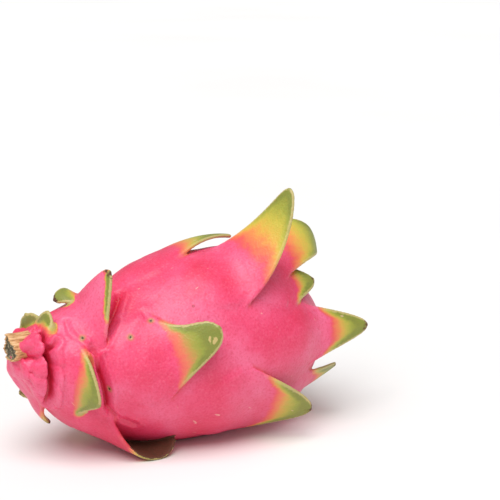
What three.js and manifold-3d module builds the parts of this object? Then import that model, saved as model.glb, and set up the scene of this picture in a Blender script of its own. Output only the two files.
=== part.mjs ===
// A whole red dragon fruit, lying on its side as picked. Millimetres, +Z up.
// The long axis runs along +X, from the cut stem at -X to the flower end at +X. The origin is the middle of
// the flat spot that the belly rests on, under the widest section.
// The skin and its bracts grew as one piece, so they are one solid.
// The dry woody stub of the stem is another.
import * as THREE from "three";
import { mergeVertices } from "three/addons/utils/BufferGeometryUtils.js";
import Module from "manifold-3d";

// Body
const WIDEST_RADIUS = 40;
const STEM_REACH = 79; // from the widest section to the stem end
const FLOWER_REACH = 68; // and to the flower end
const NECK_RADIUS = 13.5; // where the stem end closes
const BELLY_FLAT = 1.2; // how deep the flat spot is pressed into the belly
const STEM_RISE = 6; // the neck curves up towards the stub
const SAG = { depth: 3.5, at: -35, length: 22 }; // the axis dips between the widest section and the neck
const STEM_TAPER = { bend: 1.8, power: 1.3 };
const FLOWER_TAPER = { bend: 2.3, power: 0.53 };
const NECK_ROUND = 8; // the higher, the squarer the stem end closes
const NAVEL = { radius: 8, depth: 9 }; // the hollow that the flower left
// The swelling under each bract, at its full height where the body has the full radius or more
const SWELLING = { height: 2.0, behind: 8, length: 16, width: 15, full: 25 };
const CURVE_FROM = -52; // station where the neck begins to curve up
const NAVEL_SIDES = 20;
const NAVEL_RINGS = 12;
const ROOM = 0.97; // roots stay inside this share of the body's reach
const SLOPE_STEP = 1.5; // half the span over which the skin's slope is taken
const BODY_RINGS = 44;
const BODY_SIDES = 46;

// Bracts
const LEAD = 16; // how far a bract's root runs on under the skin
const ROOT_DEPTH = 4.5; // how deep the end of the root lies
const ROOT_HALF_THICK = 2.0;
const TIP_HALF_THICK = 0.9;
const EDGE_SHARE = 0.6; // thickness at a bract's edge, as a share of its middle
const EDGE_DROP = 2.0; // how far the edges of the root dip into the skin
const GRIP = 0.14; // share of the free length over which that dip fades out
const BODY_CLEAR = 3; // added to the body's radius for the curve across a bract
const TIP_SHARE = 0.06; // width left at the very tip, as a share of the root
const ROOT_NARROWS = 0.45; // how much narrower the buried end of a root is
const EASE = { curl: 1.4, thin: 0.6, blunt: 0.7 }; // how the curl, the thinning and the blunting build up
const LIFT_WITHIN = 0.15; // share of the free length in which a bract lifts off
const LEAD_STEPS = 2;
const FREE_STEPS = 6;
const ACROSS_STEPS = 4;
const SAME_POINT = 1e-4; // corners closer than this are one
const SLIVER = 0.03; // edges and steps finer than this, left where solids were joined, are closed up

// Each bract: at = station of the middle of its root along X, turn = degrees round the axis from the top
// towards the front, length = free length, half = half its width at the root, lift = degrees it leaves the
// skin by, curl = degrees it then bends outward, veer = degrees it swerves towards a larger turn,
// heading = degrees its length is turned from +X towards a larger turn, cup = how much the tip keeps the
// body's curve, thick = share of the usual thickness, neck = width past the flare of the root as a share of
// it, blunt = higher for a rounder tip, flare = higher for a shorter flare, twist = degrees the blade turns
// about its own length.
const USUAL = { veer: 0, heading: 0, cup: 0.4, thick: 1, neck: 0.4, blunt: 4, flare: 1.6, twist: 0 };
const BRACTS = {
  collar_far: { at: -66, turn: 335, length: 7.5, half: 8, lift: 80, curl: 0, heading: 176, neck: 0.7 },
  collar_low: { at: -75, turn: 197, length: 29, half: 11, lift: 27, curl: -42, neck: 0.35, flare: 1.3 },
  neck_top: {
    at: -66, turn: 14, length: 9, half: 7, lift: 112, curl: 0, heading: 180, neck: 0.6, blunt: 2,
    twist: 35,
  },
  neck_back: { at: -59, turn: 235, length: 12, half: 8, lift: 30, curl: 20, heading: 200 },
  shoulder_front: {
    at: -66, turn: 105, length: 19, half: 19, lift: 26, curl: 0, veer: 30, heading: -25, neck: 0.3,
    blunt: 3, flare: 1,
  },
  shoulder_top: { at: -57, turn: 26, length: 29, half: 17, lift: 52, curl: 0, heading: -6, neck: 0.35 },
  shoulder_far: {
    at: -45, turn: 352, length: 15, half: 8, lift: 88, curl: -120, heading: 180, neck: 0.6, blunt: 3,
    twist: -50,
  },
  shoulder_back: { at: -55, turn: 268, length: 19, half: 17, lift: 16, curl: 20 },
  shoulder_under: { at: -54, turn: 210, length: 18, half: 15, lift: 2, curl: -12 },
  belly_front: {
    at: -33, turn: 73, length: 31, half: 20, lift: 16, curl: -4, veer: -28, neck: 0.3, blunt: 8,
    flare: 2.2,
  },
  belly_low: {
    at: -52, turn: 157, length: 41, half: 14, lift: 30, curl: -95, veer: -14, cup: 0.2, neck: 0.75,
    blunt: 6, twist: 55,
  },
  belly_top: {
    at: -16, turn: 352, length: 46, half: 15, lift: 10, curl: -40, veer: -4, neck: 0.25, blunt: 3,
  },
  belly_back: { at: -24, turn: 285, length: 32, half: 21, lift: 16, curl: 18 },
  belly_under: { at: -22, turn: 222, length: 28, half: 18, lift: 2, curl: -20 },
  crest: {
    at: 6, turn: 30, length: 49.5, half: 18.3, lift: 46, curl: 22, veer: -24, neck: 0.45, blunt: 3,
  },
  flank_front: { at: 6, turn: 122, length: 36, half: 21, lift: 12, curl: 8, veer: 8 },
  flank_under: { at: 14, turn: 186, length: 30, half: 17, lift: 2, curl: -26 },
  flank_back: { at: 12, turn: 255, length: 38, half: 20, lift: 16, curl: 22 },
  brow: { at: 28, turn: 8, length: 50, half: 21, lift: 62, curl: -112, twist: 60 },
  crown_top: { at: 34, turn: 36, length: 22, half: 15, lift: 8, curl: 4 },
  crown_front: { at: 44, turn: 82, length: 34, half: 14, lift: 18, curl: 22 },
  crown_low: { at: 42, turn: 138, length: 30, half: 13, lift: 10, curl: -4 },
  crown_under: { at: 46, turn: 205, length: 28, half: 12, lift: 8, curl: 0 },
  crown_back: { at: 42, turn: 272, length: 34, half: 14, lift: 20, curl: 24 },
  crown_far: { at: 42, turn: 322, length: 34, half: 13, lift: 22, curl: 16 },
};

// Thick folds gathered round the stem: points along each, as station, turn and height over the skin, and half
// its thickness in the middle. They are thinner at both ends.
const ROLLS = [
  { half: 2.7, along: [[-77.5, 36, 1.5], [-75.3, 38, 2], [-72.3, 36, 2], [-68.5, 28, 1.5], [-64, 22, 0]] },
  { half: 2.3, along: [[-76.5, 72, 1], [-73.9, 61, 1.5], [-70.8, 52, 1.5], [-67.5, 46, 1], [-63, 43, -0.5]] },
  { half: 2.3, along: [[-77.6, 98, 1.5], [-76.5, 120, 1.5], [-75.5, 137, 0]] },
  { half: 2.9, along: [[-73.6, 78, 0.5], [-74.2, 98, 1.5], [-74.4, 118, 1.8], [-72.6, 146, 1.5], [-69, 160, 0]] },
  { half: 2.9, along: [[-77, 244, 1.5], [-77.4, 228, 2.8], [-75.1, 216, 2], [-70.5, 206, 0.5], [-66, 198, -1]] },
  { half: 2.4, along: [[-75, 248, 1], [-73, 250, 1.5], [-70, 248, 1], [-65, 244, -1]] },
  { half: 2.6, along: [[-76, 274, 1], [-74, 276, 1.5], [-69, 278, 1], [-63, 279, -1]] },
  { half: 2.6, along: [[-76, 300, 1], [-73, 304, 1.5], [-68, 306, 1], [-62, 306, -1]] },
];
const ROLL_ENDS = 0.7; // thickness at the ends, as a share of the middle
const ROLL_STEPS = 8;
const ROLL_SIDES = 8;

// Stem stub
// shows: how far the stub stands out of the skin, above: how far it is over the neck's axis
const STUB = { radius: 5.8, length: 11.5, shows: 3, above: 4.6, sides: 18 };
// The stub's outline: how far from its inner end, as a share of its length, and how far from its middle, as a
// share of its radius. The cut end is sunken.
const STUB_OUTLINE = [
  [0, 0],
  [0, 1],
  [0.5, 0.95],
  [0.85, 1],
  [1, 1],
  [1, 0.85],
  [0.92, 0.7],
  [0.91, 0],
];
const SOCKET_GAP = 0.3;

const AXIS_HEIGHT = WIDEST_RADIUS - BELLY_FLAT;
const STUB_HEIGHT = AXIS_HEIGHT + STEM_RISE + STUB.above;
const STUB_INNER_END = -STEM_REACH - STUB.shows + STUB.length;
const wasm = await Module();
wasm.setup();

const radians = THREE.MathUtils.degToRad;
const smooth = (from, to, value) => {
  const share = THREE.MathUtils.clamp((value - from) / (to - from), 0, 1);
  return share * share * (3 - 2 * share);
};

// Radius of the plain body at a station.
function profile(station) {
  if (station > 0) {
    const share = Math.min(1, station / FLOWER_REACH);
    return WIDEST_RADIUS * (1 - share ** FLOWER_TAPER.bend) ** FLOWER_TAPER.power;
  }
  const share = Math.min(1, -station / STEM_REACH);
  const cone = (WIDEST_RADIUS - NECK_RADIUS) * (1 - share ** STEM_TAPER.bend) ** STEM_TAPER.power;
  return cone + NECK_RADIUS * Math.sqrt(1 - share ** NECK_ROUND);
}

// How far the axis is above its height at the widest section.
function rise(station) {
  const sag = SAG.depth * Math.exp(-(((station - SAG.at) / SAG.length) ** 2));
  return STEM_RISE * smooth(CURVE_FROM, -STEM_REACH, station) ** 2 - sag;
}

// The swelling of the skin under every bract.
function relief(station, turn) {
  const radius = profile(station);
  let flat = 1;
  for (const b of Object.values(BRACTS)) {
    const along = (station - b.at + SWELLING.behind) / SWELLING.length;
    const around = ((((turn - b.turn + 540) % 360) - 180) * radians(1) * radius) / SWELLING.width;
    flat *= 1 - Math.exp(-along * along - around * around);
  }
  return SWELLING.height * (1 - flat) * Math.min(1, radius / SWELLING.full);
}

const outward = (turn) => new THREE.Vector3(0, -Math.sin(radians(turn)), Math.cos(radians(turn)));

function skinPoint(station, turn, depth = 0) {
  const radius = Math.max(0, profile(station) + relief(station, turn) - depth);
  const centre = new THREE.Vector3(station, 0, AXIS_HEIGHT + rise(station));
  return centre.addScaledVector(outward(turn), radius);
}

// The plain body's outward normal and its direction towards the flower end.
function skinFrame(given, turn) {
  const step = SLOPE_STEP;
  const station = THREE.MathUtils.clamp(given, 2 * step - STEM_REACH, FLOWER_REACH - 2 * step);
  const slope = (profile(station + step) - profile(station - step)) / (2 * step);
  const climb = (rise(station + step) - rise(station - step)) / (2 * step);
  const ahead = new THREE.Vector3(1, 0, climb).addScaledVector(outward(turn), slope).normalize();
  const round = outward(turn + 90);
  return { ahead, normal: new THREE.Vector3().crossVectors(round, ahead).normalize() };
}

// Closed solid from rows of points that all run the same way round, with one point at each end.
function solidOfRows(first, rows, last) {
  const sides = rows[0].length;
  const points = [first, ...rows.flat(), last];
  const index = [];
  const at = (row, side) => 1 + row * sides + (side % sides);
  for (let side = 0; side < sides; side++) {
    index.push(0, at(0, side + 1), at(0, side));
    for (let row = 0; row < rows.length - 1; row++) {
      index.push(at(row, side), at(row, side + 1), at(row + 1, side));
      index.push(at(row, side + 1), at(row + 1, side + 1), at(row + 1, side));
    }
    index.push(points.length - 1, at(rows.length - 1, side), at(rows.length - 1, side + 1));
  }
  const geometry = new THREE.BufferGeometry().setFromPoints(points);
  geometry.setIndex(index);
  return solidOf(geometry);
}

function solidOf(geometry) {
  geometry.deleteAttribute("normal");
  geometry.deleteAttribute("uv");
  const merged = mergeVertices(geometry, SAME_POINT);
  return new wasm.Manifold(
    new wasm.Mesh({
      numProp: 3,
      vertProperties: merged.attributes.position.array,
      triVerts: new Uint32Array(merged.index.array),
    }),
  );
}

function bodySolid() {
  const rows = [];
  for (let ring = 1; ring < BODY_RINGS; ring++) {
    const swing = (Math.PI * ring) / BODY_RINGS;
    const station = -Math.cos(swing) * (swing < Math.PI / 2 ? STEM_REACH : FLOWER_REACH);
    rows.push(
      Array.from({ length: BODY_SIDES }, (_, side) => skinPoint(station, (360 * side) / BODY_SIDES)),
    );
  }
  const end = (station) => new THREE.Vector3(station, 0, AXIS_HEIGHT + rise(station));
  return solidOfRows(end(-STEM_REACH), rows, end(FLOWER_REACH));
}

// Frames down the middle of a bract, from the buried end of its root to its tip.
// s is below 0 in the root and runs from 0 to 1 over the free length.
function bractSpine(b) {
  const heading = radians(b.heading);
  const root = skinFrame(b.at, b.turn);
  const ahead = root.ahead.clone().applyAxisAngle(root.normal, -heading);
  const across = new THREE.Vector3().crossVectors(ahead, root.normal);
  const halfThick = ROOT_HALF_THICK * b.thick;
  const start = skinPoint(b.at, b.turn, halfThick);
  const frames = [];
  for (let i = LEAD_STEPS; i > 0; i--) {
    const share = i / LEAD_STEPS;
    const place = start.clone().addScaledVector(ahead, -LEAD * share);
    const onAxis = new THREE.Vector3(place.x, 0, AXIS_HEIGHT + rise(place.x));
    const radial = place.clone().sub(onAxis).setX(0).normalize();
    const turn = THREE.MathUtils.radToDeg(Math.atan2(-radial.y, radial.z));
    const station = THREE.MathUtils.clamp(place.x, -STEM_REACH * ROOM, FLOWER_REACH * ROOM);
    const skin = skinPoint(station, turn, halfThick + ROOT_DEPTH * share ** 2);
    const local = skinFrame(station, turn).normal;
    frames.push({ s: -share, place: skin, across: across.clone(), normal: local, radius: profile(station) });
  }
  const place = start.clone();
  const normal = root.normal.clone();
  const radius = profile(b.at);
  const twist = radians(b.twist) / FREE_STEPS;
  let pitch = 0;
  let swerve = 0;
  frames.push({ s: 0, place: start, across: across.clone(), normal: root.normal, radius });
  for (let i = 1; i <= FREE_STEPS; i++) {
    const s = i / FREE_STEPS;
    const wantedPitch = b.lift * (1 - Math.exp(-s / LIFT_WITHIN)) + b.curl * s ** EASE.curl;
    const wantedSwerve = b.veer * s;
    ahead.applyAxisAngle(across, radians(wantedPitch - pitch));
    normal.applyAxisAngle(across, radians(wantedPitch - pitch));
    ahead.applyAxisAngle(normal, -radians(wantedSwerve - swerve));
    across.applyAxisAngle(normal, -radians(wantedSwerve - swerve));
    across.applyAxisAngle(ahead, twist);
    normal.applyAxisAngle(ahead, twist);
    [pitch, swerve] = [wantedPitch, wantedSwerve];
    place.addScaledVector(ahead, b.length / FREE_STEPS);
    frames.push({ s, place: place.clone(), across: across.clone(), normal: normal.clone(), radius });
  }
  return frames;
}

// Half the width of a bract at s, as a share of its width at the root.
function widthShare(s, b) {
  if (s < 0) return 1 - ROOT_NARROWS * s * s;
  const flared = b.neck + (1 - b.neck) * (1 - s) ** b.flare;
  return flared * (1 - s ** b.blunt) ** EASE.blunt + TIP_SHARE * s;
}

function bractSolid(given) {
  const b = { ...USUAL, ...given };
  const rows = bractSpine(b).map((f) => {
    const half = b.half * widthShare(f.s, b);
    const free = Math.max(0, f.s);
    const bend = (1 - free + b.cup * free) / (f.radius + BODY_CLEAR);
    const dip = EDGE_DROP * (1 - smooth(0, GRIP, f.s));
    const middle = b.thick * THREE.MathUtils.lerp(ROOT_HALF_THICK, TIP_HALF_THICK, free ** EASE.thin);
    const faces = [[], []];
    for (let j = 0; j <= ACROSS_STEPS; j++) {
      const t = (2 * j) / ACROSS_STEPS - 1;
      const side = t * half;
      const drop = (1 - Math.cos(side * bend)) / bend;
      const reach = Math.sin(side * bend) / bend;
      const centre = f.place
        .clone()
        .addScaledVector(f.across, reach)
        .addScaledVector(f.normal, -drop - dip * Math.abs(t) ** 3);
      const thick = middle * (1 - (1 - EDGE_SHARE) * t * t);
      faces[0].push(centre.clone().addScaledVector(f.normal, thick));
      faces[1].unshift(centre.clone().addScaledVector(f.normal, -thick));
    }
    return [...faces[0], ...faces[1]];
  });
  const centreOf = (row) =>
    row.reduce((sum, p) => sum.add(p), new THREE.Vector3()).divideScalar(row.length);
  return solidOfRows(centreOf(rows[0]), rows, centreOf(rows[rows.length - 1]));
}

// A rounded rod that follows the skin.
function rollSolid(roll) {
  const places = roll.along.map(([station, turn, up]) => skinPoint(station, turn, -up));
  const path = new THREE.CatmullRomCurve3(places);
  const { normals, binormals, tangents } = path.computeFrenetFrames(ROLL_STEPS);
  const halfAt = (share) => roll.half * (ROLL_ENDS + (1 - ROLL_ENDS) * Math.sin(Math.PI * share));
  const rows = [];
  for (let i = 0; i <= ROLL_STEPS; i++) {
    const share = i / ROLL_STEPS;
    const middle = path.getPointAt(share);
    rows.push(
      Array.from({ length: ROLL_SIDES }, (_, side) => {
        const angle = (2 * Math.PI * side) / ROLL_SIDES;
        return middle
          .clone()
          .addScaledVector(normals[i], halfAt(share) * Math.cos(angle))
          .addScaledVector(binormals[i], halfAt(share) * Math.sin(angle));
      }),
    );
  }
  const cap = roll.half * ROLL_ENDS ** 2;
  const first = path.getPointAt(0).addScaledVector(tangents[0], -cap);
  const last = path.getPointAt(1).addScaledVector(tangents[ROLL_STEPS], cap);
  return solidOfRows(first, rows, last);
}

function cylinderAlongX(radius, from, to, height) {
  const geometry = new THREE.CylinderGeometry(radius, radius, to - from, STUB.sides * 2);
  geometry.rotateZ(Math.PI / 2).translate((from + to) / 2, 0, height);
  return solidOf(geometry);
}

function fruitSolid() {
  let fruit = bodySolid();
  for (const roll of ROLLS) fruit = fruit.add(rollSolid(roll));
  for (const b of Object.values(BRACTS)) fruit = fruit.add(bractSolid(b));
  const reach = 4 * STEM_REACH;
  const floor = new THREE.BoxGeometry(reach, reach, reach).translate(0, 0, -reach / 2);
  const navel = new THREE.SphereGeometry(NAVEL.radius, NAVEL_SIDES, NAVEL_RINGS)
    .scale(NAVEL.depth / NAVEL.radius, 1, 1)
    .translate(FLOWER_REACH, 0, AXIS_HEIGHT);
  const socket = cylinderAlongX(
    STUB.radius + SOCKET_GAP,
    -STEM_REACH - 2 * STUB.length,
    STUB_INNER_END + SOCKET_GAP,
    STUB_HEIGHT,
  );
  const cut = fruit.subtract(solidOf(floor)).subtract(solidOf(navel)).subtract(socket);
  return largestOf(cut).simplify(SLIVER);
}

// The outer skin alone: hollows that the joins have sealed are filled, and loose scraps are dropped.
function largestOf(solid) {
  return solid.decompose().reduce((best, part) => (part.volume() > best.volume() ? part : best));
}

// The cut stem: a short woody stub with a sunken end.
function stubGeometry() {
  const outline = STUB_OUTLINE.map(
    ([along, out]) => new THREE.Vector2(out * STUB.radius, along * STUB.length),
  );
  const geometry = new THREE.LatheGeometry(outline, STUB.sides);
  geometry.rotateZ(Math.PI / 2).translate(STUB_INNER_END, 0, STUB_HEIGHT);
  return geometry;
}

function meshOf(name, geometry, colour, roughness) {
  const material = new THREE.MeshStandardMaterial({ color: colour, roughness, metalness: 0 });
  const mesh = new THREE.Mesh(geometry, material);
  mesh.name = name;
  return mesh;
}

function geometryOf(solid) {
  const made = solid.getMesh();
  const geometry = new THREE.BufferGeometry();
  geometry.setAttribute("position", new THREE.BufferAttribute(made.vertProperties, 3));
  geometry.setIndex(new THREE.BufferAttribute(made.triVerts, 1));
  geometry.computeVertexNormals();
  return geometry;
}

const dragonFruit = new THREE.Group();
dragonFruit.add(meshOf("fruit", geometryOf(fruitSolid()), 0xdb3a63, 0.5));
dragonFruit.add(meshOf("stem_stub", stubGeometry(), 0xb08d5e, 0.9));
export default dragonFruit;
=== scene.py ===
"""The looks of a whole red dragon fruit that lies on its side.

The skin with all its bracts is one piece, and the dry stub of the stem another.
"""
import math

import bpy
import numpy as np
import openvdb
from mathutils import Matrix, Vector, noise
from mathutils.bvhtree import BVHTree


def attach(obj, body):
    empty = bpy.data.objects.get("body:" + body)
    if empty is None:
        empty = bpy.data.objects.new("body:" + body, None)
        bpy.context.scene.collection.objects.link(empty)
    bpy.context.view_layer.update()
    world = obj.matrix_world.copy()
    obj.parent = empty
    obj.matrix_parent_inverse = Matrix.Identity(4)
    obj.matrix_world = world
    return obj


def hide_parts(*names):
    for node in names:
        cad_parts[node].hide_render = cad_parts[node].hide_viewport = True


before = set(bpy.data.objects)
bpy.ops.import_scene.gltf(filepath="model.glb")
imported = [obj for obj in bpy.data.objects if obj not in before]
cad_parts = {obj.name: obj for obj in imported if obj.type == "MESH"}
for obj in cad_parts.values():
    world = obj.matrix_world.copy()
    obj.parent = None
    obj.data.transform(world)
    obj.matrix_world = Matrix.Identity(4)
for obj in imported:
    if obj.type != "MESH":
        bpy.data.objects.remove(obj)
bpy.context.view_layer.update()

MM = 0.001

# Body, in millimetres, as in the CAD model. A station is a place along the fruit, 0 at the widest section,
# and a turn is an angle round it, in degrees, from the top and over the front (-Y).
WIDEST_RADIUS = 40
STEM_REACH = 79
FLOWER_REACH = 68
NECK_RADIUS = 13.5
BELLY_FLAT = 1.2
STEM_RISE = 6
RISE_FROM = -52
SAG = {"depth": 3.5, "at": -35, "length": 22}
STEM_TAPER = {"bend": 1.8, "power": 1.3}
FLOWER_TAPER = {"bend": 2.3, "power": 0.53}
NECK_ROUND = 8
NAVEL = {"radius": 8, "depth": 9}
SWELLING = {"height": 2.0, "behind": 8, "length": 16, "width": 15, "full": 25}
AXIS_HEIGHT = WIDEST_RADIUS - BELLY_FLAT
# Fine puckers near the stem, of full height where the radius is at least full, and two waves that make them
# wander, each with a size, a length along the fruit and a count round it
FOLDS = {"count": 13, "height": 1.6, "from": -62, "to": -72, "full": 12}
WANDERS = [(0.7, 3.5, 2), (0.4, 1.9, -3)]

# Dry stem stub, in millimetres: how far it shows past the neck and stands above the axis, its ribs, and its
# torn end, with a coarse and a fine tear, and a crest at one turn
STUB = {
    "radius": 5.8, "length": 11.5, "shows": 3, "above": 4.6, "sides": 72,
    "ribs": 3, "rib": 0.1, "rib_turn": 0.5, "grain": 0.07,
    "tear": 1.3, "fine_tear": 0.9, "crest": 1.6, "crest_turn": 20, "crest_width": 45, "pits": 0.5,
}
# Rows of the stub: how far from the inner end to the outer end, the share of the radius, how torn it is,
# and how much of it is cut face
STUB_ROWS = [
    (0, 1.0, 0, 0), (0.25, 1.0, 0, 0), (0.5, 0.95, 0, 0), (0.7, 0.96, 0.2, 0), (0.85, 1.0, 0.6, 0),
    (0.94, 1.02, 0.9, 0), (1.0, 1.0, 1, 0), (1.0, 0.9, 1, 0.2), (0.95, 0.85, 0.7, 0.7),
    (0.92, 0.76, 0.3, 1), (0.92, 0.5, 0.2, 1), (0.9, 0.25, 0.1, 1), (0.91, 0.02, 0, 1),
]

# Bracts, in millimetres and degrees, as in the CAD model. First the buried root: how far it reaches back
# and down, how much narrower its end is, and how near to the ends of the body it may come, as shares.
LEAD = 16
ROOT_DEPTH = 4.5
ROOT_NARROWING = 0.45
END_SHARE = 0.97
# Half the thickness of a blade at its root and tip, and how soon it thins. Then the share of it at the
# edges, and how far these dip into the skin, up to where the grip ends, as a share of the length.
ROOT_HALF_THICK = 2.0
TIP_HALF_THICK = 0.9
THINNING = 0.6
EDGE_SHARE = 0.6
EDGE_DROP = 2.0
GRIP = 0.14
# How wide and how round the tip is, how soon the blade lifts and how late it curls, how much flatter than
# the body it is across, and the step over which the body's slope is measured
TIP_SHARE = 0.06
TIP_ROUNDING = 0.7
LIFT_WITHIN = 0.15
CURL_POWER = 1.4
CURVE_EXTRA = 3
SLOPE_STEP = 1.5
# at, turn: where the middle of the root is. length, half: free length and half the width at the root.
# lift, curl, veer: how far the tip pitches up at once, then bends, and swerves towards a larger turn.
# heading: turned away from the flower end. cup: how far the tip keeps the body's curve. neck: the width
# past the flare of the root, as a share. blunt: higher for a rounder tip.
USUAL = {
    "veer": 0, "heading": 0, "cup": 0.4, "thick": 1, "neck": 0.4, "blunt": 4, "flare": 1.6, "twist": 0,
    "greens": 0.4, "fade": 0.45, "rim": 0.3, "edge": 0, "dry": 0.7, "brown": 0, "gold": 0.6,
}
# How a bract turns from pink to green. greens, fade: the share of its length where that begins, and over
# how much of its length it is done. rim: how much sooner its edges turn. edge: 1 or -1 for one edge alone.
# dry: how dry its tip is. brown: how far its inner face turns dark brown, for dryness and as painted shade.
# gold: 1 for a turn through yellow, 0 through olive.
TURNING = {
    "crest": {"greens": 0.26, "fade": 0.72, "rim": 0.14, "dry": 0.3, "gold": 1},
    "belly_front": {"greens": 0.26, "fade": 0.5, "rim": 0.3, "dry": 0.2, "gold": 0},
    "belly_low": {"greens": 0.95, "fade": 0.5, "rim": 0.7, "edge": -1, "dry": 0.4, "brown": 1.1},
    "belly_top": {"greens": 0.3, "fade": 0.45, "rim": 0.1, "dry": 0.2},
    "brow": {"greens": 0.3, "fade": 0.55, "rim": 0.1, "dry": 0.2, "gold": 1},
    "shoulder_front": {"greens": 0.3, "fade": 0.5, "rim": 0.35, "dry": 0.5, "gold": 0.15},
    "shoulder_top": {"greens": 0.9, "fade": 0.3, "rim": 0.75, "edge": 1, "dry": 0.7},
    "shoulder_far": {"greens": 0.3, "fade": 0.4, "rim": 0.1, "dry": 1.2},
    "neck_top": {"greens": 0.2, "fade": 0.5, "rim": 0.3, "dry": 0.5},
    "collar_far": {"greens": -0.1, "fade": 0.7, "rim": 0.1, "dry": 0.2},
    "collar_low": {"greens": 0.8, "fade": 0.5, "rim": 0.3, "dry": 1.2},
}
BRACTS = {
    "collar_far": {"at": -66, "turn": 335, "length": 7.5, "half": 8, "lift": 80, "curl": 0, "heading": 176,
        "neck": 0.7},
    "collar_low": {"at": -75, "turn": 197, "length": 29, "half": 11, "lift": 27, "curl": -42, "neck": 0.35,
        "flare": 1.3},
    "neck_top": {"at": -66, "turn": 14, "length": 9, "half": 7, "lift": 112, "curl": 0, "heading": 180,
        "neck": 0.6, "blunt": 2, "twist": 35},
    "neck_back": {"at": -59, "turn": 235, "length": 12, "half": 8, "lift": 30, "curl": 20, "heading": 200},
    "shoulder_front": {"at": -66, "turn": 105, "length": 19, "half": 19, "lift": 26, "curl": 0, "veer": 30,
        "heading": -25, "neck": 0.3, "blunt": 3, "flare": 1},
    "shoulder_top": {"at": -57, "turn": 26, "length": 29, "half": 17, "lift": 52, "curl": 0, "heading": -6,
        "neck": 0.35},
    "shoulder_far": {"at": -45, "turn": 352, "length": 15, "half": 8, "lift": 88, "curl": -120,
        "heading": 180, "neck": 0.6, "blunt": 3, "twist": -50},
    "shoulder_back": {"at": -55, "turn": 268, "length": 19, "half": 17, "lift": 16, "curl": 20},
    "shoulder_under": {"at": -54, "turn": 210, "length": 18, "half": 15, "lift": 2, "curl": -12},
    "belly_front": {"at": -33, "turn": 73, "length": 31, "half": 20, "lift": 16, "curl": -4, "veer": -28,
        "neck": 0.3, "blunt": 8, "flare": 2.2},
    "belly_low": {"at": -52, "turn": 157, "length": 41, "half": 14, "lift": 30, "curl": -95, "veer": -14,
        "cup": 0.2, "neck": 0.75, "blunt": 6, "twist": 55},
    "belly_top": {"at": -16, "turn": 352, "length": 46, "half": 15, "lift": 10, "curl": -40, "veer": -4,
        "neck": 0.25, "blunt": 3},
    "belly_back": {"at": -24, "turn": 285, "length": 32, "half": 21, "lift": 16, "curl": 18},
    "belly_under": {"at": -22, "turn": 222, "length": 28, "half": 18, "lift": 2, "curl": -20},
    "crest": {"at": 6, "turn": 30, "length": 49.5, "half": 18.3, "lift": 46, "curl": 22, "veer": -24,
        "neck": 0.45, "blunt": 3},
    "flank_front": {"at": 6, "turn": 122, "length": 36, "half": 21, "lift": 12, "curl": 8, "veer": 8},
    "flank_under": {"at": 14, "turn": 186, "length": 30, "half": 17, "lift": 2, "curl": -26},
    "flank_back": {"at": 12, "turn": 255, "length": 38, "half": 20, "lift": 16, "curl": 22},
    "brow": {"at": 28, "turn": 8, "length": 50, "half": 21, "lift": 62, "curl": -112, "twist": 60},
    "crown_top": {"at": 34, "turn": 36, "length": 22, "half": 15, "lift": 8, "curl": 4},
    "crown_front": {"at": 44, "turn": 82, "length": 34, "half": 14, "lift": 18, "curl": 22},
    "crown_low": {"at": 42, "turn": 138, "length": 30, "half": 13, "lift": 10, "curl": -4},
    "crown_under": {"at": 46, "turn": 205, "length": 28, "half": 12, "lift": 8, "curl": 0},
    "crown_back": {"at": 42, "turn": 272, "length": 34, "half": 14, "lift": 20, "curl": 24},
    "crown_far": {"at": 42, "turn": 322, "length": 34, "half": 13, "lift": 22, "curl": 16},
}
# Creases in the skin, as (station, turn) along each, with a depth and a width. A negative depth is a ridge.
CREASES = [
    {"along": [(-35.5, 15), (-41, 28), (-45.9, 39), (-51.1, 50), (-55.5, 60)],
     "depth": 2.6, "width": 1.5},
    {"along": [(-42, 37), (-46.7, 49), (-50.3, 56), (-54.4, 62)], "depth": 0.9, "width": 1.0},
    {"along": [(-60.5, 23), (-61.2, 39), (-58.9, 51), (-55.8, 60)], "depth": 1.2, "width": 1.0},
    {"along": [(-54.6, 60), (-53.2, 79), (-51.4, 96), (-49.4, 116), (-46.8, 122)],
     "depth": 3.2, "width": 1.1},
    {"along": [(-46.8, 122), (-43, 125), (-38, 128)], "depth": 1.0, "width": 1.2},
    {"along": [(-58, 63), (-58.4, 79), (-57.5, 92), (-56.6, 104)], "depth": 1.6, "width": 0.9},
    {"along": [(-56.5, 62), (-56.6, 79), (-55.3, 96), (-53.8, 114)], "depth": -0.9, "width": 1.3},
    {"along": [(-77.2, 71), (-74.5, 73), (-71.1, 60), (-67.5, 47)], "depth": 2.2, "width": 1.0},
    {"along": [(-71, 66), (-70.6, 92), (-70.5, 112), (-69.5, 132), (-70.2, 152)],
     "depth": 3.2, "width": 1.0},
    {"along": [(-72, 200), (-70, 240), (-71, 280), (-70, 320)], "depth": 2.6, "width": 1.4},
    {"along": [(-31, 37), (-38, 46), (-46, 62)], "depth": -0.6, "width": 3},
    {"along": [(2, 352), (-3, 360), (-8, 370)], "depth": 1.2, "width": 1.4},
]
# The low lip on both sides of a crease: how far out, in widths, and how high, as a share of the depth
LIP = {"out": 2.2, "height": 0.35}
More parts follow.
